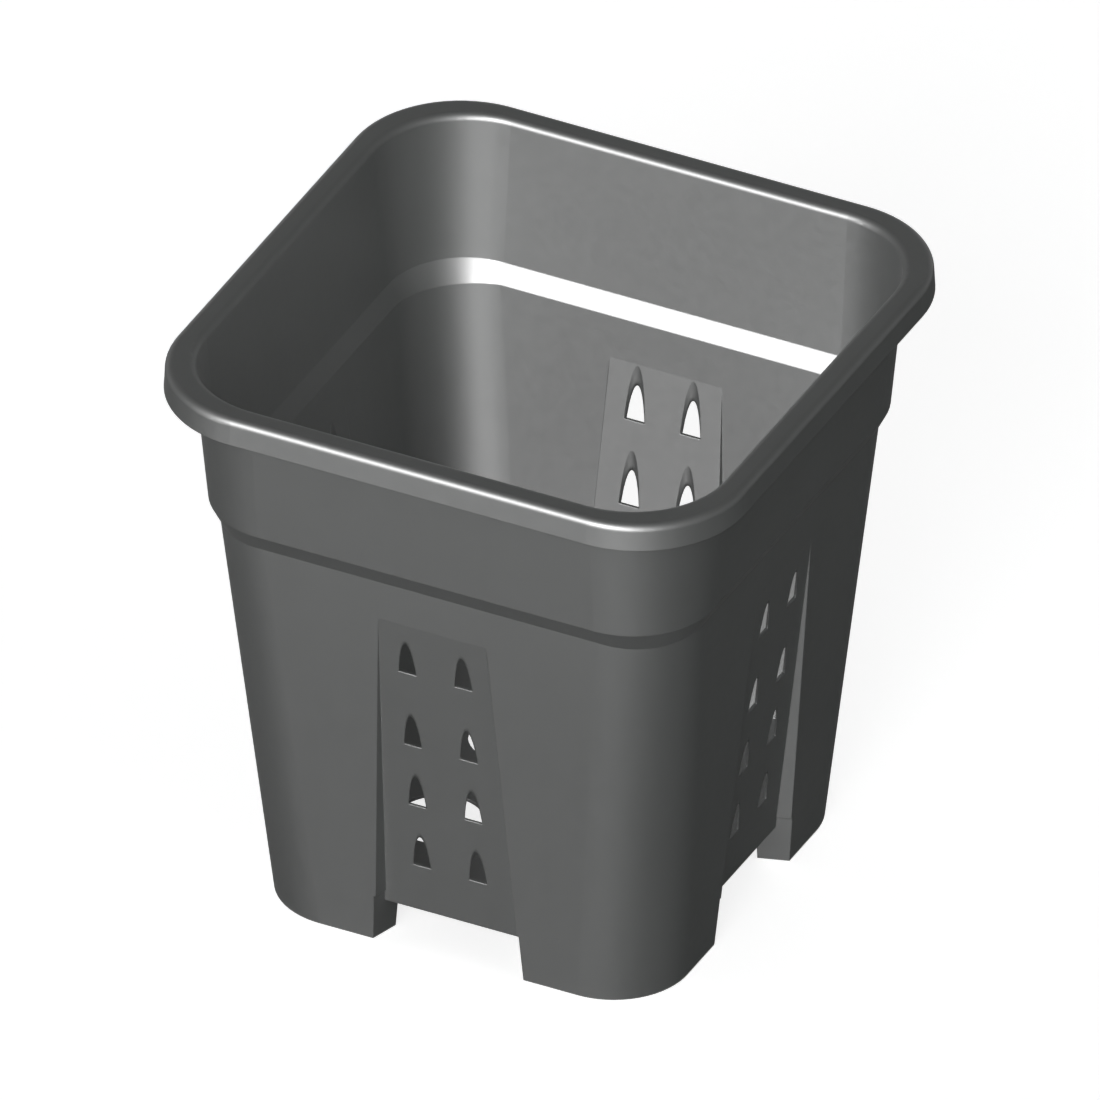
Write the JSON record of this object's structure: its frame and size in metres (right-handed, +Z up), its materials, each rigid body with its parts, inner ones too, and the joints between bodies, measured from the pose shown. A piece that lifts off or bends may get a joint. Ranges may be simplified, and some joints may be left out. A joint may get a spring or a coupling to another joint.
{
  "type": "plant pot",
  "caption": "Tapered square plastic plant pot with rounded corners, a stepped band, a rolled rim, columns of pointed vents in recessed panels and hollow corner feet.",
  "frame": {"origin": "centre of the square footprint, on the ground plane that the feet stand on", "axes": "+Z up out of the mouth; +X and +Y square to two neighbouring side walls"},
  "size_m": [0.25, 0.25, 0.2532],
  "materials": {
    "pot_plastic": "smooth satin moulded polypropylene, dark grey"
  },
  "bodies": {
    "root": {"pot": "pot_plastic"}
  },
  "joints": []
}
